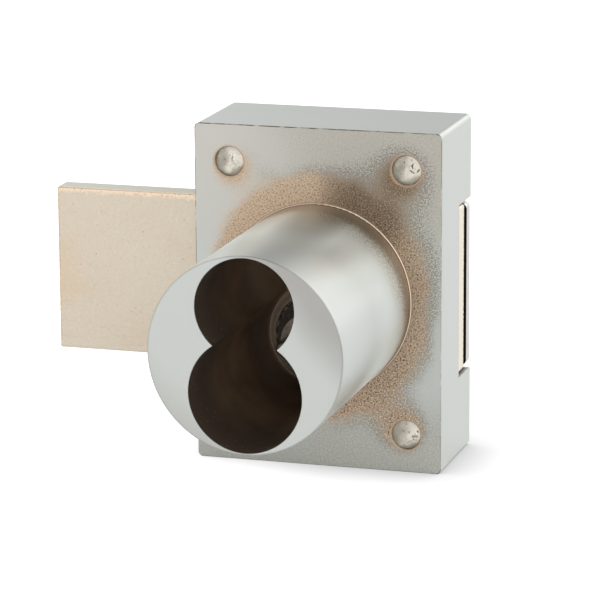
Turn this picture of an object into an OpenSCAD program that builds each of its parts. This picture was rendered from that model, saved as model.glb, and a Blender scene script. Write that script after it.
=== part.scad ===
// Cabinet deadbolt lock that takes a figure-eight interchangeable core.
// The barrel lies along Y, the front face of the case is at y = 0 and up is +Z.
// The bolt is drawn thrown, towards -X, with the crank on its dead centre.

/* [Core opening] */
// Radius of the upper lobe, which takes the pin chambers of the core
upper_lobe_r = 7.15; // [6.8:0.05:7.5]
// Height of the upper lobe's axis above the barrel axis
upper_lobe_z = 6.6; // [6.3:0.05:6.9]
// Radius of the lower lobe, which takes the plug of the core
lower_lobe_r = 8.2; // [7.9:0.05:8.6]
// Drop of the lower lobe's axis below the barrel axis
lower_lobe_drop = 5.65; // [5.4:0.05:5.9]
// How far the opening goes on behind the front face of the case
floor_depth = 1.5; // [1.2:0.1:1.8]
// Small bevel round the mouth of the opening
mouth_bevel = 0.1; // [0.05:0.01:0.15]
// Bevel left by the casting core where the walls meet the floor
floor_bevel = 0.3; // [0.1:0.05:0.5]
// Distance from the barrel's face to the shoulder behind which the core's lug turns
lug_shoulder = 17.5; // [15:0.5:20]
// Length of the lug pocket behind its shoulder
lug_pocket_l = 6; // [5:0.5:8]
// Reach of the lug pocket from the lower lobe's axis
lug_pocket_reach = 10.4; // [9.8:0.1:11]
// Height of the lug pocket, centred on the waist of the opening
lug_pocket_h = 6; // [5:0.5:7]

/* [Barrel] */
// Thinnest wall between the core opening and the outside of the barrel
barrel_wall = 0.25; // [0.2:0.05:2]
// Length of the barrel in front of the case
barrel_l = 35.5; // [32:0.5:50]
// Fillet where the barrel meets the face of the case
barrel_fillet = 0.3; // [0.1:0.05:0.4]
// Bevel round the outer edge of the barrel's face
rim_bevel = 0.1; // [0.05:0.01:0.15]

/* [Case] */
// Height of the case
case_h = 50.8; // [48:0.2:60]
// Radius of the case's corners, seen from the front
case_corner_r = 0.8; // [0.4:0.1:2]
// Thickness of the four side walls
wall_t = 2.4; // [2:0.1:3]
// Thickness of the front wall
front_wall = 3; // [2.6:0.1:3.6]
// Radius inside the corners of the case
room_corner_r = 1.2; // [0.6:0.1:2]
// Thickness of the web that carries the driver, behind the floor of the opening
web_t = 2.8; // [2.5:0.1:4]

/* [Driver] */
// Radius of the bore in the web
driver_bore_r = 6.5; // [6:0.05:6.7]
// Running clearance of the driver in its bore
driver_clear = 0.13; // [0.05:0.01:0.2]
// How far the bore's raised lip stands in front of the floor of the opening
lip_h = 1.5; // [1:0.1:2]
// Flat width on top of the lip
lip_flat = 0.05; // [0.05:0.05:0.2]
// How far the driver's hub stands in front of the lip
hub_proud = 0.4; // [0.2:0.1:0.8]
// Bevel on the front edge of the hub
hub_bevel = 0.35; // [0.1:0.05:0.5]
// Radius of the boss that meets the back of the core
boss_r = 4.35; // [4:0.05:5]
// Length of the boss in front of the hub
boss_l = 4.1; // [3.5:0.1:5]
// Radius of the flange that keeps the driver behind the web
flange_r = 9; // [8.2:0.1:9.5]
// Thickness of the flange
flange_t = 2.3; // [1.5:0.1:3]
// Thickness of the thrust washer
washer_t = 0.5; // [0.3:0.1:1]
// End play between the washer and the flange
end_play = 0.05; // [0.02:0.01:0.15]
// Radius of the two prongs that turn the plug of the core
prong_r = 1.15; // [1:0.05:1.4]
// Distance between the prongs' axes
prong_spacing = 5.2; // [4.6:0.1:5.4]
// How far the prongs stand out of the boss
prong_out = 4.5; // [3:0.1:6]
// How far the prongs are pressed into the driver
prong_hold = 5; // [4:0.5:7]

/* [Crank] */
// Travel of the bolt, which is twice the radius of the crank
throw = 25.4; // [22:0.1:30]
// Thickness of the crank plate
crank_t = 2.7; // [2:0.1:4]
// Radius of the crank plate round the driver
crank_hub_r = 8; // [7:0.1:9]
// Radius of the crank plate's end round its pin
crank_end_r = 3.2; // [2.8:0.1:3.6]
// Gap between the end of the crank and the side walls
crank_gap = 0.45; // [0.3:0.05:1]
// Radius of the driver's spigot in the crank plate
spigot_r = 4.6; // [4.2:0.1:5.5]
// Distance across the two flats of the spigot
spigot_flats = 7.2; // [6.5:0.1:8]
// Width of the rim staked over the crank plate
stake_lip = 0.4; // [0.2:0.1:0.8]
// Thickness of the rim staked over the crank plate
stake_t = 0.4; // [0.2:0.1:0.5]
// Radius of the crank pin
pin_r = 1.8; // [1.5:0.1:2.1]
// Step between the crank pin and its neck in the crank plate
pin_step = 0.3; // [0.2:0.1:0.5]
// Radius of the two posts in the case that stop the crank at its dead centres
stop_r = 2; // [1.5:0.1:2.4]
// Distance along the crank's side from the widest part of its hub to a stop post
stop_along = 8.6; // [8:0.1:10]
// Gap between the crank and a stop post
stop_gap = 0.06; // [0.03:0.01:0.15]

/* [Bolt] */
// Height of the bolt
bolt_h = 25.3; // [24:0.1:27]
// Thickness of the bolt
bolt_t = 4; // [3:0.1:6]
// Height of the bolt's middle, measured from the barrel axis
bolt_z = -0.3; // [-0.5:0.05:0]
// How far the retracted bolt still stands out of the case
bolt_nose = 0.35; // [0:0.05:1]
// How far the tail of the thrown bolt lies inside the case
tail_inset = 0.3; // [0.1:0.05:1]
// Radius of the corners at the tail
tail_corner_r = 0.4; // [0.2:0.1:2]
// Radius of the corners at the nose
nose_corner_r = 0.3; // [0.1:0.05:1]
// Radius of the bolt's long edges
bolt_edge_r = 0.4; // [0.2:0.05:0.8]
// Gap between the crank plate and the bolt
bolt_gap = 0.85; // [0.6:0.05:1.5]
// Gap between the bolt and the front edge of its side openings
slide_clear = 0.1; // [0.05:0.01:0.2]
// Gap above and below the bolt in its side openings
side_opening_clear = 0.5; // [0.2:0.05:1]
// Gap between the crank pin and the window in the bolt
window_clear = 0.25; // [0.15:0.05:0.5]
// Radius of the corners of the window
window_corner_r = 3.2; // [2:0.1:3.6]

/* [Back plate] */
// Thickness of the back plate
plate_t = 2; // [1.5:0.1:3]
// Gap round the back plate inside the walls
plate_gap = 0.12; // [0.05:0.01:0.3]
// How far the plate's tongues lie inside the sides of the case
tongue_inset = 0.15; // [0.05:0.05:0.5]
// Gap above and below each tongue
tongue_clear = 0.65; // [0.3:0.05:1.5]
// Radius of the tongues' corners
tongue_corner_r = 1; // [0.4:0.1:2]

/* [Bolt spring] */
// Gap between the bolt and the back plate, which holds the spring
spring_room = 0.76; // [0.6:0.02:1.5]
// Depth of the pocket for the spring in the back plate
spring_pocket = 0.4; // [0.2:0.05:0.8]
// Thickness of the spring
spring_t = 0.35; // [0.2:0.05:0.5]
// Width of the spring
spring_w = 3.6; // [2.5:0.1:4]
// Length of the spring
spring_l = 24; // [18:1:28]
// Gap between the spring and the bolt
spring_clear = 0.06; // [0.03:0.01:0.15]
// Gap round the spring in its pocket
spring_side_gap = 0.2; // [0.1:0.05:0.4]

/* [Rivets] */
// Distance from a side of the case to a rivet's axis
rivet_inset_x = 5.3; // [5:0.1:6.5]
// Distance from the top or bottom of the case to a rivet's axis
rivet_inset_z = 5.6; // [5.2:0.1:7]
// Radius of the rivets
rivet_r = 1.6; // [1.2:0.05:1.8]
// Gap between a rivet and its hole
rivet_clear = 0.05; // [0.02:0.01:0.1]
// Radius of the column cast round each rivet
column_r = 3.2; // [2.9:0.1:3.6]
// Radius of the counterbore in the front face
counterbore_r = 2.2; // [2:0.05:2.5]
// Depth of the counterbore
counterbore_depth = 0.75; // [0.5:0.05:1.2]
// Bevel round the counterbore's mouth
counterbore_bevel = 0.15; // [0.05:0.05:0.3]
// Gap round the peened end in its counterbore
peen_gap = 0.06; // [0.03:0.01:0.15]
// How far the top of the peened end lies below the front face
peen_below = 0.05; // [0.02:0.01:0.3]
// Height of the peened end's dome
peen_dome = 0.4; // [0.2:0.05:0.45]
// Radius of the rivet's head on the back plate
rivet_head_r = 2.9; // [2.4:0.1:3.1]
// Height of the rivet's head
rivet_head_h = 0.9; // [0.6:0.1:1.5]

/* [Hidden] */
$fn = 96;
// How far a cutting shape runs past the face that it opens
cut = 1;
// Gap that stands for a press fit
press_gap = 0.01;
// Bevel on the tips of the prongs and of the crank pin
tip_bevel = 0.3;
// Distance from the bolt's back to the tip of the crank pin
pin_short = 0.1;
// Outward slope of the lip round the driver bore
lip_slope = 0.88;
// How far the crank's straight sides lie inside the tangents of its round ends
side_inset = 0.05;

// Depths behind the front face, each counted from the piece before it
web_back = floor_depth + web_t;
flange_y = web_back + washer_t + end_play;
crank_y = flange_y + flange_t;
crank_back = crank_y + crank_t;
bolt_y = crank_back + bolt_gap;
bolt_back = bolt_y + bolt_t;
plate_y = bolt_back + spring_room;
case_d = plate_y + plate_t;

// The barrel is as wide as the core opening needs
barrel_r = max(lower_lobe_drop + lower_lobe_r, upper_lobe_z + upper_lobe_r) + barrel_wall;
driver_z = -lower_lobe_drop;
// Half the width of the waist between the lobes, and its height
lobe_spacing = upper_lobe_z + lower_lobe_drop;
waist_rise = (lobe_spacing ^ 2 + lower_lobe_r ^ 2 - upper_lobe_r ^ 2) / (2 * lobe_spacing);
waist_z = driver_z + waist_rise;

// The case is as wide as the turning crank needs
crank_r = throw / 2;
room_w = 2 * (crank_r + crank_end_r + crank_gap);
case_w = room_w + 2 * wall_t;
room_h = case_h - 2 * wall_t;

// A stop post touches the crank's side, which lies at this lean from the line of its two ends
crank_lean = acos((crank_hub_r - crank_end_r) / crank_r);
stop_out = crank_hub_r + stop_gap + stop_r;
stop_x = stop_out * cos(crank_lean) + stop_along * sin(crank_lean);
stop_drop = stop_out * sin(crank_lean) - stop_along * cos(crank_lean);

// The driver
hub_r = driver_bore_r - driver_clear;
lip_y = floor_depth - lip_h;
lip_top_r = driver_bore_r + lip_flat;
hub_y = lip_y - hub_proud;
boss_y = hub_y - boss_l;
washer_r = flange_r + 0.3;
washer_hole_r = hub_r + 0.08;
web_boss_r = washer_r + 0.5;

// The bolt moves evenly while the pin swings, so its window is wider than the pin by this slip
slip_angle = asin(2 / PI);
slip = crank_r * (slip_angle / 90 - 1 + cos(slip_angle));
window_w = 2 * (slip + pin_r + window_clear);
window_h = crank_r + 2 * (pin_r + window_clear);
window_z = driver_z + crank_r / 2;
side_opening_h = bolt_h + 2 * side_opening_clear;
nose_x = -case_w / 2 - throw - bolt_nose;
tail_x = case_w / 2 - tail_inset;

// The spring bears on the strip of bolt below the window
spring_z = (driver_z - pin_r - window_clear + bolt_z - bolt_h / 2) / 2;
spring_bow = spring_room + spring_pocket - spring_t - spring_clear;

// The rivets
rivet_x = case_w / 2 - rivet_inset_x;
rivet_z = case_h / 2 - rivet_inset_z;
rivet_hole_r = rivet_r + rivet_clear;
peen_r = counterbore_r - peen_gap;

// Draws a shape seen from the front and fills it between two depths
module drawn(front, back) {
    translate([0, back, 0]) rotate([90, 0, 0]) linear_extrude(back - front) children();
}

// A round bar along Y, or a cone where its two radii differ
module rod(front, back, front_r, back_r) {
    end_r = is_undef(back_r) ? front_r : back_r;
    translate([0, front, 0]) rotate([-90, 0, 0]) cylinder(h = back - front, r1 = front_r, r2 = end_r);
}

// Moves a piece across and up, seen from the front
module at(x, z) {
    translate([x, 0, z]) children();
}

module rounded_rect(width, height, corner_r) {
    square([width - 2 * corner_r, height], center = true);
    square([width, height - 2 * corner_r], center = true);
    for (x = [-1, 1], z = [-1, 1])
        translate([x * (width / 2 - corner_r), z * (height / 2 - corner_r)]) circle(corner_r);
}

// A circle with two flats, above and below
module double_d(radius, flats) {
    intersection() {
        circle(radius);
        square([2 * radius + cut, flats], center = true);
    }
}

// An arm along +X whose straight sides run just inside the tangents of its two round ends
module tapered_arm(hub, end, length) {
    lean = acos((hub - end) / length);
    hub_side = hub - side_inset;
    end_side = end - side_inset;
    circle(hub);
    translate([length, 0]) circle(end);
    polygon([
        hub_side * [cos(lean), -sin(lean)],
        [length, 0] + end_side * [cos(lean), -sin(lean)],
        [length, 0] + end_side * [cos(lean), sin(lean)],
        hub_side * [cos(lean), sin(lean)]
    ]);
}

// A low dome standing on the plane y = base, towards -Y or +Y
module dome(base, base_r, height, side) {
    ball_r = (base_r ^ 2 + height ^ 2) / (2 * height);
    far = base + side * (height + cut);
    intersection() {
        translate([0, base + side * (height - ball_r), 0]) sphere(ball_r);
        rod(min(base, far), max(base, far), base_r + cut);
    }
}

module at_each_rivet() {
    for (x = [-1, 1], z = [-1, 1]) at(x * rivet_x, z * rivet_z) children();
}

// One lobe of the core opening, from the barrel's face to the floor
module lobe(height, radius) {
    at(0, height) {
        rod(-barrel_l - cut, floor_depth - floor_bevel, radius);
        rod(floor_depth - floor_bevel, floor_depth, radius, radius - floor_bevel);
        rod(-barrel_l - cut, -barrel_l + mouth_bevel, radius + mouth_bevel + cut, radius);
    }
}

module core_opening() {
    difference() {
        union() {
            lobe(upper_lobe_z, upper_lobe_r);
            lobe(driver_z, lower_lobe_r);
        }
        at(0, driver_z) rod(lip_y, floor_depth + cut, lip_top_r, lip_top_r + (lip_h + cut) * lip_slope);
    }
}

// The pocket into which the core's lug turns, in the right wall of the waist
module lug_pocket() {
    pocket_y = -barrel_l + lug_shoulder;
    intersection() {
        at(0, driver_z) rod(pocket_y, pocket_y + lug_pocket_l, lug_pocket_reach);
        translate([0, pocket_y - cut, waist_z - lug_pocket_h / 2])
            cube([barrel_r, lug_pocket_l + 2 * cut, lug_pocket_h]);
    }
}

module barrel() {
    rod(-barrel_l, -barrel_l + rim_bevel, barrel_r - rim_bevel, barrel_r);
    rod(-barrel_l + rim_bevel, front_wall, barrel_r);
    rotate([90, 0, 0]) rotate_extrude() translate([barrel_r, 0]) difference() {
        translate([-cut, 0]) square([barrel_fillet + cut, barrel_fillet]);
        translate([barrel_fillet, barrel_fillet]) circle(barrel_fillet);
    }
}

// The hollow of the case, seen from the front, with a column left in each corner
module room_outline() {
    difference() {
        rounded_rect(room_w, room_h, room_corner_r);
        for (x = [-1, 1], z = [-1, 1]) translate([x * rivet_x, z * rivet_z]) {
            circle(column_r);
            translate([x > 0 ? 0 : -wall_t - rivet_inset_x, -column_r])
                square([wall_t + rivet_inset_x, 2 * column_r]);
            translate([-column_r, z > 0 ? 0 : -wall_t - rivet_inset_z])
                square([2 * column_r, wall_t + rivet_inset_z]);
        }
    }
}

// The opening in a side wall, for the bolt and for a tongue of the back plate
module side_opening(side) {
    front = bolt_y - slide_clear;
    translate([side * case_w / 2 - wall_t - cut, front, bolt_z - side_opening_h / 2])
        cube([2 * (wall_t + cut), case_d + cut - front, side_opening_h]);
}

// A post on the front wall at each side, below the crank, where the crank comes to rest
module stop_posts() {
    for (side = [-1, 1]) at(side * stop_x, driver_z - stop_drop) rod(front_wall - cut, crank_back, stop_r);
}

module case() {
    color("silver") {
        case_casting();
        stop_posts();
    }
}

module case_casting() {
    difference() {
        union() {
            drawn(0, case_d) rounded_rect(case_w, case_h, case_corner_r);
            barrel();
        }
        drawn(web_back, case_d + cut) room_outline();
        drawn(front_wall, web_back + cut) difference() {
            room_outline();
            translate([0, driver_z]) circle(web_boss_r);
        }
        drawn(plate_y, case_d + cut) rounded_rect(room_w, room_h, room_corner_r);
        for (side = [-1, 1]) side_opening(side);
        core_opening();
        lug_pocket();
        at(0, driver_z) rod(lip_y - cut, web_back + cut, driver_bore_r);
        at_each_rivet() {
            rod(-cut, case_d, rivet_hole_r);
            rod(-cut, counterbore_depth, counterbore_r);
            rod(-cut, counterbore_bevel, counterbore_r + counterbore_bevel + cut, counterbore_r);
        }
    }
}

module back_plate() {
    color("gainsboro") difference() {
        drawn(plate_y, case_d) {
            rounded_rect(room_w - 2 * plate_gap, room_h - 2 * plate_gap, room_corner_r);
            translate([0, bolt_z]) rounded_rect(
                case_w - 2 * tongue_inset, side_opening_h - 2 * tongue_clear, tongue_corner_r
            );
        }
        at_each_rivet() rod(plate_y - cut, case_d + cut, rivet_hole_r);
        drawn(plate_y - cut, plate_y + spring_pocket) translate([0, spring_z])
            square([spring_l + 2 * spring_side_gap, spring_w + 2 * spring_side_gap], center = true);
    }
}

// The bolt's outline seen from the front, square at the nose and rounder at the tail
module bolt_outline() {
    middle_x = (nose_x + tail_x) / 2;
    bolt_l = tail_x - nose_x;
    translate([middle_x, bolt_z]) {
        intersection() {
            rounded_rect(bolt_l, bolt_h, tail_corner_r);
            translate([0, -bolt_h]) square([bolt_l, 2 * bolt_h]);
        }
        intersection() {
            rounded_rect(bolt_l, bolt_h, nose_corner_r);
            translate([-bolt_l, -bolt_h]) square([bolt_l + cut, 2 * bolt_h]);
        }
    }
}

module bolt() {
    color("tan") difference() {
        intersection() {
            drawn(bolt_y - cut, bolt_back + cut) bolt_outline();
            translate([nose_x - cut, (bolt_y + bolt_back) / 2, bolt_z]) rotate([90, 0, 90])
                linear_extrude(tail_x - nose_x + 2 * cut) rounded_rect(bolt_t, bolt_h, bolt_edge_r);
        }
        drawn(bolt_y - cut, bolt_back + cut) translate([-crank_r, window_z])
            rounded_rect(window_w, window_h, window_corner_r);
    }
}

module driver() {
    color("dimgray") at(0, driver_z) difference() {
        union() {
            rod(boss_y, hub_y + cut, boss_r);
            rod(hub_y, hub_y + hub_bevel, hub_r - hub_bevel, hub_r);
            rod(hub_y + hub_bevel, flange_y + flange_t / 2, hub_r);
            rod(flange_y, crank_y, flange_r);
            drawn(crank_y - flange_t / 2, crank_back) double_d(spigot_r, spigot_flats);
            drawn(crank_back, crank_back + stake_t)
                double_d(spigot_r + stake_lip, spigot_flats + 2 * stake_lip);
        }
        for (side = [-1, 1])
            at(side * prong_spacing / 2, 0) rod(boss_y - cut, boss_y + prong_hold, prong_r + press_gap);
    }
}

module prong(side) {
    color("lightgray") at(side * prong_spacing / 2, driver_z) {
        rod(boss_y - prong_out, boss_y - prong_out + tip_bevel, prong_r - tip_bevel, prong_r);
        rod(boss_y - prong_out + tip_bevel, boss_y + prong_hold, prong_r);
    }
}

module thrust_washer() {
    color("goldenrod") at(0, driver_z) difference() {
        rod(web_back, web_back + washer_t, washer_r);
        rod(web_back - cut, web_back + washer_t + cut, washer_hole_r);
    }
}

module crank_plate() {
    color("darkgray") at(0, driver_z) difference() {
        drawn(crank_y, crank_back) rotate(180) tapered_arm(crank_hub_r, crank_end_r, crank_r);
        drawn(crank_y - cut, crank_back + cut) double_d(spigot_r + press_gap, spigot_flats + 2 * press_gap);
        at(-crank_r, 0) rod(crank_y - cut, crank_back + cut, pin_r - pin_step + press_gap);
    }
}

module crank_pin() {
    pin_end = bolt_back - pin_short;
    color("lightgray") at(-crank_r, driver_z) {
        rod(crank_y, crank_back, pin_r - pin_step);
        rod(crank_back, pin_end - tip_bevel, pin_r);
        rod(pin_end - tip_bevel, pin_end, pin_r, pin_r - tip_bevel);
    }
}

// A strip bowed towards the bolt, with its two ends on the floor of the pocket
module bolt_spring() {
    bow_r = (spring_l ^ 2 / 4 + spring_bow ^ 2) / (2 * spring_bow);
    pocket_floor = plate_y + spring_pocket;
    color("lightsteelblue") translate([0, pocket_floor - spring_bow + bow_r, spring_z - spring_w / 2])
        linear_extrude(spring_w) intersection() {
            difference() {
                circle(bow_r + spring_t, $fn = 720);
                circle(bow_r, $fn = 720);
            }
            translate([-spring_l / 2, -bow_r - 2 * spring_t]) square([spring_l, bow_r / 2]);
        }
}

// A rivet: peened dome in the front face, shank through the column, head on the back plate
module rivet(side_x, side_z) {
    color("lightgray") at(side_x * rivet_x, side_z * rivet_z) {
        rod(peen_below + peen_dome, counterbore_depth, peen_r);
        dome(peen_below + peen_dome, peen_r, peen_dome, -1);
        rod(counterbore_depth, case_d, rivet_r);
        dome(case_d, rivet_head_r, rivet_head_h, 1);
    }
}

case();
back_plate();
bolt();
driver();
prong(-1);  // prong_left
prong(1);  // prong_right
thrust_washer();
crank_plate();
crank_pin();
bolt_spring();
rivet(-1, 1);  // rivet_upper_left
rivet(1, 1);  // rivet_upper_right
rivet(-1, -1);  // rivet_lower_left
rivet(1, -1);  // rivet_lower_right
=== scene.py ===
import math
import random
import bpy
import bmesh
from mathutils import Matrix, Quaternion, Vector, noise


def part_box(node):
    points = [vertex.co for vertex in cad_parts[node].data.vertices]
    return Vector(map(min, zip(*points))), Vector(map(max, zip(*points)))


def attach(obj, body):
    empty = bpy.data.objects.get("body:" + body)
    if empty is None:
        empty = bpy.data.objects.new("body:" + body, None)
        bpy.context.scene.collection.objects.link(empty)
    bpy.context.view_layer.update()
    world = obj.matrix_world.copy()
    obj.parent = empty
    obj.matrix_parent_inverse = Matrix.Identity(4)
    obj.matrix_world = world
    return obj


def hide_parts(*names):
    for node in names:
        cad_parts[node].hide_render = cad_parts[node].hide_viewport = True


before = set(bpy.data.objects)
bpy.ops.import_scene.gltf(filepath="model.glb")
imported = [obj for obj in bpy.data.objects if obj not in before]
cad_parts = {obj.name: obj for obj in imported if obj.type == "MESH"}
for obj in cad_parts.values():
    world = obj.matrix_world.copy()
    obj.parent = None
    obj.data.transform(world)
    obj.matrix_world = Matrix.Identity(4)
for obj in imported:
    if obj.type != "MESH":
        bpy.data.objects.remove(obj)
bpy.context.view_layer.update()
mm = 0.001

# Case and barrel
# One zinc die casting: a box open at the back, with the barrel for the core growing out of its
# front. It is satin chrome plated, and the plating bath left a tan stain round the barrel's foot.


class Field:
    """A number that varies over a surface; its arithmetic builds shader nodes."""

    def __init__(self, socket):
        self.socket = socket

    def math(self, operation, *terms):
        tree = self.socket.id_data
        node = tree.nodes.new("ShaderNodeMath")
        node.operation = operation
        for slot, term in zip(node.inputs, (self, *terms)):
            if isinstance(term, Field):
                tree.links.new(term.socket, slot)
            else:
                slot.default_value = term
        return Field(node.outputs[0])

    def __add__(self, other):
        return self.math("ADD", other)

    def __sub__(self, other):
        return self.math("SUBTRACT", other)

    def __mul__(self, other):
        return self.math("MULTIPLY", other)

    def __rsub__(self, other):
        return self * -1.0 + other

    def rise(self, low, high):
        """0 below low, 1 above high and a smooth rise between; it falls where low is the larger."""
        tree = self.socket.id_data
        node = tree.nodes.new("ShaderNodeMapRange")
        node.interpolation_type = "SMOOTHSTEP"
        falls = low > high
        node.inputs["From Min"].default_value = min(low, high)
        node.inputs["From Max"].default_value = max(low, high)
        node.inputs["To Min"].default_value = 1.0 if falls else 0.0
        node.inputs["To Max"].default_value = 0.0 if falls else 1.0
        tree.links.new(self.socket, node.inputs["Value"])
        return Field(node.outputs["Result"])


def diagonal(across, along):
    """The distance to a place that lies this far off in two square directions."""
    return (across * across + along * along).math("SQRT")


def linear(colour):
    """A colour as it looks on screen, each part from 0 to 255, as the shader needs it."""
    parts = [c / 255 for c in colour]
    return (*[c / 12.92 if c <= 0.04045 else ((c + 0.055) / 1.055) ** 2.4 for c in parts], 1.0)


class Finish:
    """The look of a surface, whose fields x, y, z are the place on the part in millimetres."""

    def __init__(self, name, colour, roughness, metallic=1.0):
        self.material = bpy.data.materials.new(name)
        self.material.use_nodes = True
        self.tree = self.material.node_tree
        self.shader = self.tree.nodes["Principled BSDF"]
        self.shader.inputs["Metallic"].default_value = metallic
        self.shader.inputs["Roughness"].default_value = roughness
        self.shader.inputs["Base Color"].default_value = linear(colour)
        self.colour = colour
        coords = self.tree.nodes.new("ShaderNodeTexCoord")
        scaled = self.tree.nodes.new("ShaderNodeVectorMath")
        scaled.operation = "SCALE"
        scaled.inputs["Scale"].default_value = 1 / mm
        self.tree.links.new(coords.outputs["Object"], scaled.inputs[0])
        self.place = scaled.outputs[0]
        parts = self.tree.nodes.new("ShaderNodeSeparateXYZ")
        self.tree.links.new(self.place, parts.inputs[0])
        self.x, self.y, self.z = [Field(parts.outputs[axis]) for axis in range(3)]

    def from_axis(self, x, z):
        """Distance from a line along Y."""
        return diagonal(self.x - x, self.z - z)

    def grain(self, size, detail=2.0, stretch=(1, 1, 1), shift=0.0, roughness=0.5):
        """Random mottling from 0 to 1, whose spots are about this many millimetres wide."""
        mapping = self.tree.nodes.new("ShaderNodeMapping")
        mapping.inputs["Scale"].default_value = [1 / (size * s) for s in stretch]
        mapping.inputs["Location"].default_value = [shift] * 3
        self.tree.links.new(self.place, mapping.inputs["Vector"])
        node = self.tree.nodes.new("ShaderNodeTexNoise")
        node.inputs["Scale"].default_value = 1.0
        node.inputs["Detail"].default_value = detail
        node.inputs["Roughness"].default_value = roughness
        self.tree.links.new(mapping.outputs[0], node.inputs["Vector"])
        return Field(node.outputs[0])

    def paint(self, amount, colour):
        """Lays a colour over what is there, where the field amount is above 0."""
        node = self.tree.nodes.new("ShaderNodeMix")
        node.data_type = "RGBA"
        below, above, mixed = node.inputs[6], node.inputs[7], node.outputs[2]
        self.tree.links.new(amount.socket, node.inputs["Factor"])
        if isinstance(self.colour, tuple):
            below.default_value = linear(self.colour)
        else:
            self.tree.links.new(self.colour, below)
        above.default_value = linear(colour)
        self.colour = mixed
        self.tree.links.new(mixed, self.shader.inputs["Base Color"])

    def rough(self, field):
        self.tree.links.new(field.socket, self.shader.inputs["Roughness"])

    def metal(self, field):
        self.tree.links.new(field.socket, self.shader.inputs["Metallic"])

    def relief(self, height, depth):
        """Raises and sinks the surface by up to this many millimetres."""
        node = self.tree.nodes.new("ShaderNodeBump")
        node.inputs["Distance"].default_value = depth * mm
        node.inputs["Strength"].default_value = 1.0
        self.tree.links.new(height.socket, node.inputs["Height"])
        self.tree.links.new(node.outputs[0], self.shader.inputs["Normal"])

    def cover(self, piece):
        piece.data.materials.clear()
        piece.data.materials.append(self.material)


def smooth(mesh):
    """Shades a mesh smooth, apart from the edges that turn sharply."""
    mesh.shade_smooth()
    mesh.set_sharp_from_angle(angle=math.radians(50))


def placed(name, data):
    """A new object in the scene that holds this mesh or camera."""
    thing = bpy.data.objects.new(name, data)
    bpy.context.scene.collection.objects.link(thing)
    return thing


def dressed(node, name, body, on_arris, width):
    """A copy of a CAD node's shape with some of its arrises rounded, standing for the node."""
    shape = bmesh.new()
    shape.from_mesh(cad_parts[node].data)
    bmesh.ops.remove_doubles(shape, verts=shape.verts, dist=0.001 * mm)
    flat = math.radians(0.3)
    bmesh.ops.dissolve_limit(shape, angle_limit=flat, verts=shape.verts, edges=shape.edges)
    sharp = math.radians(30)
    arrises = [
        edge for edge in shape.edges
        if edge.is_manifold and edge.calc_face_angle() > sharp
        and on_arris((edge.verts[0].co + edge.verts[1].co) / 2 / mm)
    ]
    bmesh.ops.bevel(
        shape, geom=arrises, offset=width, segments=2, profile=0.5, affect="EDGES", clamp_overlap=True
    )
    mesh = bpy.data.meshes.new(name)
    shape.to_mesh(mesh)
    shape.free()
    smooth(mesh)
    piece = placed(name, mesh)
    even = piece.modifiers.new("even_shading", "WEIGHTED_NORMAL")
    even.keep_sharp = True
    even.weight = 100
    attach(piece, body)
    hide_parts(node)
    return piece


case_low, case_high = [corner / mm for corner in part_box("case")]
case_side, case_back, case_top = case_high
case_corner_r = 0.8
barrel_front = case_low.y
barrel_r = 14.1
driver_z = -5.65
driver_bore_r = 6.5
rivet_x = case_side - 5.3
rivet_z = case_top - 5.6
counterbore_r = 2.16


def on_case_arris(p):
    """The edges round the front and the back of the box, and those of its side openings."""
    near_wall, touching = 1.1, 0.01
    in_wall = abs(p.x) > case_side - near_wall or abs(p.z) > case_top - near_wall
    at_end = p.y < touching or p.y > case_back - touching
    return in_wall and (at_end or abs(p.x) > case_side - touching)


case = dressed("case", "case_casting", "case", on_case_arris, width=0.12 * mm)
satin_roughness = 0.46
satin = Finish("satin_chrome_casting", (203, 206, 202), satin_roughness)
from_barrel = satin.from_axis(0, 0)
past_barrel = from_barrel - barrel_r
up = satin.z.math("DIVIDE", from_barrel)
right = satin.x.math("DIVIDE", from_barrel)
front = satin.y.rise(0.3, 0.2) * past_barrel.rise(0.25, 0.35)
tube = satin.y.rise(-0.2, -0.35) * past_barrel.rise(-0.2, -0.1)
sand = satin.grain(0.22, shift=9, roughness=0.7)
grit = satin.grain(0.26, detail=3, shift=31, roughness=0.7)
cloud = satin.grain(5) - 0.5
drift = satin.grain(14, shift=3) - 0.5

# The right half and the foot of the front are painted darker with fine grey grains, partly grey haze and
# partly painted shade
right_haze_and_shade = (satin.x + drift * 16.0).rise(-13, 3) * (satin.z.rise(4, 14) * 0.45 + 0.2)
haze_and_shade = right_haze_and_shade + satin.z.rise(-12, -20) * 0.6
satin.paint(haze_and_shade * (grit.rise(0.35, 0.65) * 0.8 + 0.45) * front, (172, 170, 162))
satin.paint(up.rise(0.1, 0.8) * front * 0.16, (196, 166, 136))

# The barrel's end face is painted greyer at its upper right and at its lower left, painted shade for a dark
# reflection there, and greyer along its rim
end_face = satin.y.rise(barrel_front + 0.15, barrel_front + 0.05)
satin.paint((satin.x + satin.z + drift * 8.0).rise(9, 19) * end_face * 0.85, (172, 170, 166))
satin.paint((satin.x + satin.z * 1.2 + drift * 8.0).rise(-12, -24) * end_face * 0.6, (178, 177, 173))
rim = past_barrel.rise(-0.3, -0.1) * satin.y.rise(barrel_front + 0.35, barrel_front + 0.2)
satin.paint(rim * 0.5, (158, 157, 152))

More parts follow.
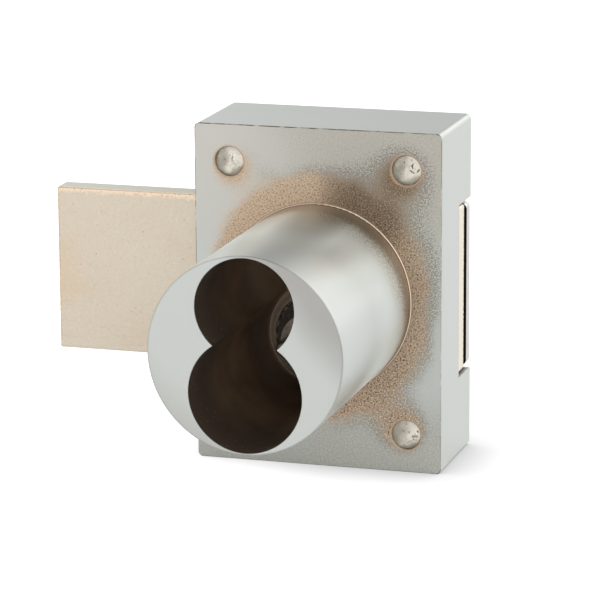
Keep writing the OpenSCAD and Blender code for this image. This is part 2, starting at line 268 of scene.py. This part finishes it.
# The stain reaches out over the front and a little way forward along the barrel. beyond is how
# far past the stain's edge a place lies, in mm, and run how far each rivet draws that edge out
rivet_reach = 24.0
rivet_stain_r = 2.45
stain_merge = 4.0
beyond_front = past_barrel - 2.2 - up.math("ABSOLUTE") * 2.2 - cloud * 2.5
for side_x, side_z, run in ((-1, 1, 0.3), (1, 1, 0.5), (1, -1, 0.45), (-1, -1, 0.4)):
    from_rivet = satin.from_axis(side_x * rivet_x, side_z * rivet_z)
    beyond_rivet = from_rivet - (rivet_reach - from_barrel) * run - rivet_stain_r
    beyond_front = beyond_front.math("SMOOTH_MIN", beyond_rivet, stain_merge)
beyond_tube = satin.y * -1.0 - (up * 2.1 + 1.1).math("MAXIMUM", 0.4) - cloud * 1.5
beyond = beyond_front * (1.0 - tube) + beyond_tube * tube
outside = front.math("MAXIMUM", tube)

# The barrel's right side is painted whiter and made less metallic, painted light standing for light that
# the room doesn't give there, apart from a grey crown, painted shade of the dark band along its top
flank = right * 0.97 + up * 0.25
crown = (right * 0.17 + up * 0.98).rise(0.93, 1.0)
near_foot = (satin.y - flank * flank * 9.0).rise(-29, -17)
painted_light_flank = tube * beyond.rise(-0.5, 4.5) * near_foot * right.rise(-0.75, -0.45)
satin.paint(painted_light_flank, (227, 234, 232))
satin.paint(painted_light_flank * crown * 0.7, (176, 177, 173))

# Grey dust lies past the stain's edge, farthest out at the upper right
upper_right = (right * 0.77 + up * 0.64).rise(0.6, 0.95)
past_dust = (beyond - upper_right * 1.6) * (1.0 - tube * 0.6)
dust = past_dust.rise(2.6, 0.2) * (right + up * 0.2 + cloud).rise(-0.5, 0.5) * outside
satin.paint(dust * (grit + beyond.rise(3.5, -1) * 0.12).rise(0.48, 0.60) * 0.75, (134, 127, 117))

# The stain is tan, sooty at the upper right and brown below, with dark and light grains
sooty = (right * 0.48 + up * 0.88).rise(0.85, 1.0)
coarse = right.rise(0.4, 0.9) * 0.8 + up.rise(-0.3, -0.8) * 1.4 + sooty * 0.7
tan = (beyond + (sand - 0.5) * 6.0 + (grit - 0.5) * 4.0).rise(0.7, -0.5) * outside
satin.paint(tan, (207, 185, 161))
satin.paint(tan * right.rise(0.4, 0.9) * 0.3, (150, 136, 120))
satin.paint(tan * up.rise(-0.4, -0.8) * 0.35, (136, 112, 88))
satin.paint(tan * sooty * 0.9, (124, 107, 89))
satin.paint(tan * grit.rise(0.50, 0.58) * (coarse * 0.25 + 0.65), (122, 97, 75))
satin.paint(tan * grit.rise(0.52, 0.60) * coarse * 0.6, (78, 56, 40))
satin.paint(tan * sand.rise(0.48, 0.36) * (coarse * 0.3 + 0.4 - sooty * 0.2), (238, 218, 194))
satin.paint(tan * tube * up.rise(-0.4, 0.3) * 0.6, (196, 194, 182))

# A ring of the stain runs round each counterbore, and the barrel's underside is darker brown at its foot,
# partly stain and partly painted shade in the crease under the barrel
aside = satin.x.math("ABSOLUTE") - rivet_x
above = satin.z.math("ABSOLUTE") - rivet_z
past_bore = diagonal(aside, above) + (grit - 0.5) * 0.3 - counterbore_r
satin.paint(past_bore.rise(-0.08, 0.0) * past_bore.rise(0.44, 0.19) * front * 0.7, (196, 166, 138))
underside = outside * tube * up.rise(0.2, -0.3) * beyond.rise(2.5, -0.5)
satin.paint(underside * (satin.y.rise(-1.7, -0.7) * 0.35 + 0.45), (122, 108, 92))

# The fillet at the barrel's foot is stained too, apart from a narrow line painted bright, a painted
# highlight along the fillet
fillet = past_barrel.rise(-0.1, 0.0) * past_barrel.rise(0.35, 0.25)
fillet = fillet * satin.y.rise(-0.5, -0.3) * satin.y.rise(0.3, 0.2)
satin.paint(fillet * 0.9, (150, 126, 104))
painted_highlight_line = past_barrel.rise(0.03, 0.09) * past_barrel.rise(0.18, 0.12)
painted_highlight_line = painted_highlight_line * satin.y.rise(0.02, -0.02) * satin.y.rise(-0.24, -0.14)
satin.paint(painted_highlight_line * 0.9, (242, 226, 204))

# The front arrises are painted dark, in broken lines that meet at the corners and are darker towards the
# upper left
out_x = satin.x.math("ABSOLUTE") - case_side
out_z = satin.z.math("ABSOLUTE") - case_top
corner_x = (out_x + case_corner_r).math("MAXIMUM", 0.0)
corner_z = (out_z + case_corner_r).math("MAXIMUM", 0.0)
from_outline = diagonal(corner_x, corner_z) - case_corner_r
arris = from_outline.rise(-0.16, -0.1) * satin.y.rise(0.16, 0.1)
broken = satin.grain(1.6, detail=4, shift=5).rise(0.34, 0.54)
arris_darkness = (satin.z - satin.x).rise(-10, 30) * 0.6 + 0.3 + (corner_x * corner_z).rise(0.0, 0.1) * 0.4
satin.paint(arris * broken * arris_darkness, (96, 84, 72))

# The opening for the core is left as cast and has gone brown, darkest near its mouth and painted
# lighter deeper in, partly rust and partly painted light, with a paler lip round the driver's bore
opening = past_barrel.rise(-0.12, -0.16) * satin.y.rise(barrel_front + 0.12, barrel_front + 0.16)
rust = satin.grain(7, detail=3, shift=12)
flecks = satin.grain(0.4, detail=1, shift=21).rise(0.70, 0.74)
satin.paint(opening, (68, 56, 45))
satin.paint(opening * satin.y.rise(-31, -12) * (rust.rise(0.3, 0.7) * 0.6 + 0.4), (150, 122, 94))
# Lighter patches at the top and the bottom deep inside are painted light, for reflections there
satin.paint(opening * satin.y.rise(-18, -4) * satin.z.rise(-3, 2) * 0.9, (208, 192, 172))
satin.paint(opening * satin.y.rise(-9, -3) * satin.z.rise(0, -4) * 0.6, (150, 134, 116))
satin.paint(opening * flecks * satin.y.rise(-22, -28) * 0.6, (150, 142, 128))
# The right side deep inside is painted lighter, painted light for light bounced off the walls
satin.paint(opening * satin.x.rise(0, 3) * satin.y.rise(-31, -6) * 0.8, (196, 176, 152))
lip_r = driver_bore_r + 1.42
lip = satin.from_axis(0, driver_z).rise(lip_r, lip_r - 0.06) * satin.y.rise(-0.6, -0.3)
satin.paint(lip * opening, (250, 230, 208))

# Inside the box nothing was plated either
hollow = satin.y.rise(3.6, 4.4) * satin.y.rise(case_back - 0.1, case_back - 0.5)
hollow = hollow * out_x.rise(-0.15, -0.9) * out_z.rise(-0.15, -0.9)
satin.paint(hollow, (88, 74, 60))
bare = opening.math("MAXIMUM", hollow)
satin.rough(satin_roughness - tube * 0.14 + tan * 0.1 + bare * 0.1)
milky = 0.28 - crown * 0.28 + up.rise(-0.15, -0.6) * 0.3
satin.metal(1.0 - bare * 0.8 - painted_light_flank * milky)
satin.relief(sand * 0.5 + grit * 0.5, 0.012)
satin.cover(case)

# Thrust washer
# A stamped bronze ring between the case's web and the driver's flange. It lies loose round the
# driver and takes the push of the key.

bronze = Finish("oiled_bronze", (196, 150, 92), 0.38)
bronze.paint(bronze.grain(1.2, detail=4).rise(0.45, 0.7), (150, 108, 62))
bronze.relief(bronze.grain(0.2), 0.01)
bronze.cover(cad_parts["thrust_washer"])

# Driver and its prongs
# A turned steel piece whose boss meets the back of the core. Two ground pins pressed into the
# boss turn the core's plug; the face between them was left rough from the saw.

boss_r = 4.45
flange_edge_r = 6.0
turned = Finish("turned_steel_driver", (122, 110, 98), 0.5, metallic=0.0)
from_driver = turned.from_axis(0, driver_z)
torn = turned.grain(0.5, detail=4, stretch=(0.5, 1, 1.6))
glint_noise = turned.grain(0.5, shift=3)
turned.paint(torn.rise(0.45, 0.7), (150, 140, 128))
# The boss is painted far lighter than the flange, painted light for the light it gets nearer the mouth
boss = from_driver.rise(boss_r, boss_r - 0.15)
turned.paint(boss, (250, 236, 222))
turned.paint(boss * torn.rise(0.45, 0.65) * 0.6, (196, 178, 160))
# Light flecks round the flange's edge are painted highlights on its chamfer
edge_glints = from_driver.rise(flange_edge_r, flange_edge_r + 0.08) * turned.y.rise(0.2, 0.0)
turned.paint(edge_glints * glint_noise.rise(0.42, 0.58), (236, 222, 206))
turned.relief(torn, 0.06)
turned.cover(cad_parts["driver"])

ground = Finish("ground_steel_pins", (176, 175, 170), 0.3)
ground.paint(ground.grain(0.5, detail=3, stretch=(1, 6, 1)).rise(0.45, 0.7), (146, 144, 140))
ground.relief(ground.grain(0.12, detail=1, stretch=(1, 8, 1)), 0.008)
for node in ("prong_left", "prong_right"):
    ground.cover(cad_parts[node])

# Crank plate and its pin
# An arm blanked from steel sheet, held on the driver's spigot by the staked rim. Its pin is
# ground as the prongs are, riveted in, and runs in the window in the bolt.

blanked = Finish("blanked_steel", (166, 166, 164), 0.42)
blanked.paint(blanked.grain(2.5, detail=4).rise(0.45, 0.7), (136, 134, 130))
blanked.paint(blanked.grain(0.3, detail=1).rise(0.7, 0.78), (96, 90, 82))
blanked.relief(blanked.grain(0.25, stretch=(6, 1, 1)), 0.012)
blanked.cover(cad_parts["crank_plate"])
ground.cover(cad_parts["crank_pin"])

# Bolt
# A flat steel bar that slides across the case. It was tumbled, so its long edges are round, and
# nickel plated, with the plate gone warm and worn to a bright tan along the edges.

bolt_low, bolt_high = [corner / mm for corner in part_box("bolt")]


def on_bolt_end(p):
    """The edges at the bolt's nose and at its tail."""
    return p.x < bolt_low.x + 0.5 or p.x > bolt_high.x - 1.2


bolt = dressed("bolt", "bolt_bar", "bolt", on_bolt_end, width=0.22 * mm)
cream = Finish("tumbled_bolt", (218, 206, 189), 0.48)
from_nose = cream.x - bolt_low.x
from_tail = cream.x - bolt_high.x
from_top = cream.z - bolt_high.z
from_face = cream.y - bolt_low.y
from_back = cream.y - bolt_high.y
patches = cream.grain(12, detail=3)
fine = cream.grain(0.4, shift=8)
streak = cream.grain(0.5, stretch=(12, 1, 1), shift=4)
hair = cream.grain(0.25, detail=1, stretch=(1, 1, 4), shift=2)
pits = cream.grain(0.5, detail=1, shift=5).rise(0.74, 0.80)
nose = from_nose.rise(6, 0) * cream.z.rise(-9, -4) * cream.z.rise(9, 3)
cream.paint((patches + nose * 0.2).rise(0.5, 0.85) * 0.45, (220, 198, 168))
cream.paint(fine.rise(0.5, 0.75) * 0.3, (200, 186, 166))
cream.paint(fine.rise(0.42, 0.25) * 0.3, (238, 228, 212))
cream.paint(streak.rise(0.55, 0.75) * cream.z.rise(2, -6) * 0.3, (200, 184, 160))
cream.paint(pits * 0.5, (160, 138, 112))
cream.paint(hair.rise(0.70, 0.80) * 0.3, (176, 158, 136))

# The top is greyer, and the upper edge of the front is worn
on_top = from_top.rise(-0.12, -0.02)
cream.paint(on_top, (203, 203, 193))
cream.paint(on_top * streak.rise(0.45, 0.7) * cream.x.rise(-42, -24) * 0.6, (204, 184, 156))
wear = from_top + (cream.grain(0.8, detail=3, shift=17) - 0.5) * 1.2
worn = wear.rise(-1.1, -0.4) * from_top.rise(-0.02, -0.08) * from_face.rise(0.6, 0.4)
cream.paint(worn * 0.8, (246, 222, 194))
cream.paint(worn * fine.rise(0.55, 0.7) * 0.5, (176, 138, 104))

# So is the nose's front edge; the tail is brighter, with an uneven dark line along its back edge, painted
# shade of the gap behind it
nose_edge = from_nose.rise(0.35, 0.15) * from_face.rise(0.5, 0.2)
cream.paint(nose_edge * fine.rise(0.35, 0.55) * 0.7, (196, 156, 116))
tail = from_tail.rise(-0.3, -0.1)
cream.paint(tail * 0.8, (238, 230, 214))
cream.paint(tail * (from_back + fine - 0.5).rise(-0.45, -0.15) * 0.9, (84, 66, 50))
cream.rough((patches - 0.5) * 0.2 + 0.46 - worn * 0.14)
cream.relief(cream.grain(0.35) + worn * cream.grain(0.9) * 3.0, 0.014)
cream.cover(bolt)

# Bolt spring
# A strip of blued spring steel bowed between the back plate and the bolt. Its friction keeps
# the bolt where it was put.

blued = Finish("blued_spring_steel", (104, 110, 126), 0.3)
blued.paint(blued.grain(1.5, detail=3).rise(0.45, 0.7), (78, 80, 92))
blued.relief(blued.grain(0.2, detail=1, stretch=(8, 1, 1)), 0.006)
blued.cover(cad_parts["bolt_spring"])

# Back plate
# A pressed steel plate that closes the case. It sits on the four columns inside, and a tongue
# on each side fills the end of the opening behind the bolt.

plate_low, plate_high = [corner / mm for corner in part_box("back_plate")]


def on_plate_rim(p):
    """The edges round the plate's front and back faces."""
    return p.y < plate_low.y + 0.01 or p.y > plate_high.y - 0.01


plate = dressed("back_plate", "pressed_back_plate", "case", on_plate_rim, width=0.14 * mm)
pressed = Finish("satin_chrome_plate", (204, 204, 200), 0.4)
pressed.paint(pressed.grain(6, detail=3).rise(0.5, 0.8) * 0.5, (190, 186, 178))
pressed.paint(pressed.grain(0.3, detail=1, shift=6).rise(0.72, 0.8) * 0.5, (140, 134, 124))
# The plate's front face, inside the closed case, is painted dark brown, painted shade inside the box
pressed.paint(pressed.y.rise(plate_low.y + 0.25, plate_low.y + 0.05), (52, 42, 34))
pressed.relief(pressed.grain(0.3), 0.012)
pressed.cover(plate)

# Rivets
# Four steel rivets put in from the back hold the plate. Their front ends were peened over into
# the counterbores, which left shallow domes with scars and pits.

peen_r = 2.14
peen_rim_y = 0.45
peen_back_y = 0.75
shank_r = 1.6
dome_rings = 34
rivet_steps = 96


def hammered(x, z, side_x, side_z, tilt, scars):
    """How far a place on a rivet's peened end is beaten in, in mm, and how much painted shade its scars
    get.
    """
    fade = 1 - (math.hypot(x, z) / peen_r) ** 6
    rough = noise.fractal(Vector((x + 9 * side_x, side_z * 7, z)) * 0.8, 1.0, 2.0, 3)
    fan = noise.noise(Vector((side_x * 5, (x + z) * 0.4, (x - z) * 2.5)))
    sink = 0.06 + fade * (0.07 * rough + 0.012 * fan + tilt[0] * x + tilt[1] * z)
    dark = 0.0
    for x0, z0, x1, z1, width, depth in scars:
        from_start = Vector((x - x0, z - z0))
        along = Vector((x1 - x0, z1 - z0))
        share = max(0.0, min(1.0, (from_start @ along) / along.length_squared))
        gap = (from_start - along * share).length
        groove = depth * math.exp(-((gap / width) ** 2))
        sink += 0.8 * groove
        dark = max(dark, 6 * groove)
    return max(sink, 0.0), min(dark, 1.0)


def peened_rivet(name, side_x, side_z, scars):
    """A rivet with its peened end in front; scars are grooves (x0, z0, x1, z1, width, depth) in mm."""
    low, high = [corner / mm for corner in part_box(name)]
    middle_x, middle_z = side_x * rivet_x, side_z * rivet_z
    head_r, head_h = (high.x - low.x) / 2, high.y - case_back
    dome_h = (peen_rim_y - low.y) * 0.6
    shares = [ring / dome_rings for ring in range(1, dome_rings)]
    profile = [(peen_r * share, peen_rim_y - dome_h * (1 - share ** 2)) for share in shares]
    profile += [(peen_r - 0.04, peen_rim_y - 0.01), (peen_r, peen_rim_y + 0.06)]
    profile += [(peen_r, peen_back_y), (shank_r, peen_back_y), (shank_r, case_back), (head_r, case_back)]
    head_arc = [math.radians(9 * step) for step in range(1, 10)]
    profile += [(head_r * math.cos(t) ** 0.8, case_back + head_h * math.sin(t)) for t in head_arc]
    random.seed(name)
    tilt = random.uniform(-0.03, 0.03), random.uniform(-0.03, 0.03)
    verts, scarred = [(middle_x, low.y + 0.05, middle_z)], [0.0]
    for radius, y in profile:
        for step in range(rivet_steps):
            turn = math.tau * step / rivet_steps
            x, z = radius * math.cos(turn), radius * math.sin(turn)
            sink = dark = 0.0
            if y < peen_rim_y:
                sink, dark = hammered(x, z, side_x, side_z, tilt, scars)
            verts.append((middle_x + x, y + sink, middle_z + z))
            scarred.append(dark)
    last = len(verts)
    verts.append((middle_x, high.y, middle_z))
    scarred.append(0.0)
    faces = []
    for i in range(rivet_steps):
        j = (i + 1) % rivet_steps
        faces.append((0, 1 + i, 1 + j))
        for ring in range(len(profile) - 1):
            here = 1 + ring * rivet_steps
            after = here + rivet_steps
            faces.append((here + i, after + i, after + j, here + j))
        faces.append((last - rivet_steps + j, last - rivet_steps + i, last))
    mesh = bpy.data.meshes.new(name)
    mesh.from_pydata([Vector(v) * mm for v in verts], [], faces)
    mesh.validate()
    shape = bmesh.new()
    shape.from_mesh(mesh)
    bmesh.ops.recalc_face_normals(shape, faces=shape.faces)
    shape.to_mesh(mesh)
    shape.free()
    mesh.attributes.new("scar", "FLOAT", "POINT").data.foreach_set("value", scarred)
    smooth(mesh)
    piece = placed(name + "_peened", mesh)
    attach(piece, "case")
    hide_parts(name)
    peened.cover(piece)


peened = Finish("peened_rivet", (232, 226, 214), 0.42)
rivet_side = peened.x - peened.x.math("SIGN") * rivet_x
rivet_up = peened.z - peened.z.math("SIGN") * rivet_z
blotch = peened.grain(1.4, detail=3) - 0.5
left_shade = (rivet_side - rivet_up * 0.2 + blotch * 2.2).rise(0.7, -1.3)
peened.paint(left_shade * 0.85, (152, 146, 134))
low_shade = (rivet_side * -0.4 + rivet_up + blotch * 1.2).rise(-0.9, -2.0)
peened.paint(low_shade * 0.7, (128, 116, 100))
peened.paint(peened.grain(0.45, shift=8).rise(0.60, 0.72) * 0.6, (130, 112, 92))
scar = peened.tree.nodes.new("ShaderNodeAttribute")
scar.attribute_name = "scar"
# The scar grooves are painted dark, painted shade in the grooves
peened.paint(Field(scar.outputs["Fac"]) * 0.8, (96, 82, 68))
peened.relief(peened.grain(0.3), 0.008)
peened_rivet("rivet_upper_left", -1, 1, [
    (-0.75, 0.2, -0.72, 0.2, 0.1, 0.12), (0.35, 1.2, 0.5, 0.9, 0.09, 0.1),
    (0.5, 0.7, 0.35, 0.3, 0.08, 0.12), (0.35, 0.3, 0.3, 0.0, 0.08, 0.12),
    (0.4, -0.2, 1.0, -0.75, 0.08, 0.1), (0.7, -0.05, 1.2, -0.6, 0.08, 0.09),
    (1.1, 0.2, 1.55, -0.35, 0.07, 0.07),
])
peened_rivet("rivet_upper_right", 1, 1, [
    (-0.45, 1.15, -0.4, 1.05, 0.13, 0.14), (0.9, 0.95, 0.75, 0.6, 0.1, 0.2),
    (0.75, 0.6, 0.85, 0.25, 0.1, 0.18), (0.5, -0.05, 1.0, -0.4, 0.1, 0.2),
    (1.55, -0.2, 1.8, 0.1, 0.12, 0.2), (0.35, 0.4, 0.37, 0.42, 0.1, 0.08),
    (-0.9, -0.6, -0.85, -0.62, 0.1, 0.06),
])
peened_rivet("rivet_lower_right", 1, -1, [
    (1.65, 0.55, 1.7, 0.5, 0.14, 0.22), (-0.45, 0.5, -0.4, 0.48, 0.1, 0.12),
    (0.3, 0.4, 0.45, 0.25, 0.12, 0.12), (0.9, -0.25, 1.6, -0.2, 0.16, 0.16),
    (0.9, -0.5, 1.2, -0.75, 0.12, 0.12), (0.1, -1.2, 1.3, -0.7, 0.1, 0.06),
])
peened_rivet("rivet_lower_left", -1, -1, [
    (0.4, 0.3, 0.9, 0.6, 0.1, 0.14), (-0.6, -0.4, -0.2, -0.7, 0.1, 0.1),
    (1.2, -0.3, 1.3, -0.35, 0.1, 0.12),
])

# Table, lamps and camera
# The lock stands on a white table in a soft white room. A long lens looks at it from the left
# and a little above.


def white_share(tree, seen, mirrored):
    """The share of plain white for the camera's rays and for those that metal and glass send on."""
    rays = tree.nodes.new("ShaderNodeLightPath").outputs
    sent_on = Field(rays["Is Glossy Ray"]) + Field(rays["Is Transmission Ray"])
    return Field(rays["Is Camera Ray"]) * seen + sent_on * mirrored


def blended(tree, share, below, above):
    """Two shaders mixed, of which the second has this share."""
    node = tree.nodes.new("ShaderNodeMixShader")
    tree.links.new(share.socket, node.inputs[0])
    tree.links.new(below, node.inputs[1])
    tree.links.new(above, node.inputs[2])
    return node.outputs[0]


floor_z = case_low.z * mm
table_half = 1.5
table_corners = [(x * table_half, y * table_half, floor_z) for x, y in ((-1, -1), (1, -1), (1, 1), (-1, 1))]
table_mesh = bpy.data.meshes.new("table")
table_mesh.from_pydata(table_corners, [], [(0, 1, 2, 3)])
table = placed("table", table_mesh)
paper = Finish("white_paper", (243, 243, 243), 0.9, metallic=0.0)

# The table's white is dimmed where the lock stands close by, a painted contact shadow, and less so on the
# left, painted light for the lit side
nearby = paper.tree.nodes.new("ShaderNodeAmbientOcclusion")
nearby.inputs["Distance"].default_value = 9 * mm
lit_side = paper.x.rise(6, -18)
brightness = Field(nearby.outputs["AO"]) * 0.95 + 0.16 + lit_side * 0.3
white = paper.tree.nodes.new("ShaderNodeEmission")
paper.tree.links.new(brightness.socket, white.inputs["Strength"])
table_white = white_share(paper.tree, seen=0.85, mirrored=0.12)
table_look = blended(paper.tree, table_white, paper.shader.outputs[0], white.outputs[0])
paper.tree.links.new(table_look, paper.tree.nodes["Material Output"].inputs["Surface"])
paper.cover(table)

# The room's soft lights, ring by ring: height in degrees, how small the lights are, and how
# bright the one at each bearing is, in degrees from +Y towards +X. The brightnesses were fitted
# to how light the lock is in the photo
light_rings = [
    (6, 25, {-150: 1.41, -120: 0.69, -90: 0.93, -60: 0.86, 0: 0.23}),
    (6, 25, {30: 0.87, 60: 1.25, 90: 1.18, 120: 0.94, 150: 1.58}),
    (22, 25, {-150: 1.14, -120: 1.03, -90: 0.36, -60: 0.47}),
    (22, 25, {30: 0.42, 60: 0.36, 90: 0.25, 120: 0.31, 150: 2.23}),
    (42, 16, {-135: 0.23, -90: 0.31, -45: 1.45, 45: 1.83, 90: 0.77, 135: 0.98}),
    (65, 12, {-180: 0.68, 90: 0.39}),
    (90, 12, {0: 0.72}),
    (0, 80, {-15: 0.51, 15: 0.64, 30: 0.37}),
    (10, 80, {-30: 0.84, 0: 1.01}),
    (20, 80, {-30: 0.44, 0: 0.53}),
    (30, 80, {-30: 2.27, 15: 0.73, 30: 3.42}),
]
world = bpy.data.worlds.new("room")
bpy.context.scene.world = world
world.use_nodes = True
tree = world.node_tree
looking = tree.nodes.new("ShaderNodeTexCoord").outputs["Generated"]
glow = None
for height, smallness, lights in light_rings:
    for bearing, strength in lights.items():
        level, rise = math.cos(math.radians(height)), math.sin(math.radians(height))
        bearing = math.radians(bearing)
        towards = tree.nodes.new("ShaderNodeVectorMath")
        towards.operation = "DOT_PRODUCT"
        towards.inputs[1].default_value = (math.sin(bearing) * level, math.cos(bearing) * level, rise)
        tree.links.new(looking, towards.inputs[0])
        light = ((Field(towards.outputs["Value"]) - 1.0) * smallness).math("EXPONENT") * strength
        glow = light if glow is None else glow + light

# The camera sees plain white round the lock, and metal sees a share of it among the lights
mirrored_white = 0.2
lights_alone = ((glow - mirrored_white) * (1 / (1 - mirrored_white))).math("MAXIMUM", 0.0)
room = tree.nodes["Background"]
tree.links.new(lights_alone.socket, room.inputs["Color"])
backdrop = tree.nodes.new("ShaderNodeBackground")
backdrop.inputs["Color"].default_value = (1, 1, 1, 1)
room_white = white_share(tree, seen=1.0, mirrored=mirrored_white)
room_look = blended(tree, room_white, room.outputs[0], backdrop.outputs[0])
tree.links.new(room_look, tree.nodes["World Output"].inputs["Surface"])

camera_data = bpy.data.cameras.new("camera")
camera_data.sensor_width = 36
camera_data.lens = 206.57
camera_data.clip_start = 0.01
camera = placed("camera", camera_data)
camera.location = (0.13990, -0.47124, 0.11700)
camera_aim = Vector((-0.002689, 0, -0.000379))
camera_roll = math.radians(-0.335)
facing = (camera_aim - camera.location).to_track_quat("-Z", "Y")
camera.rotation_mode = "QUATERNION"
camera.rotation_quaternion = facing @ Quaternion((0, 0, 1), camera_roll)
bpy.context.scene.camera = camera
bpy.context.scene.view_settings.view_transform = "Standard"
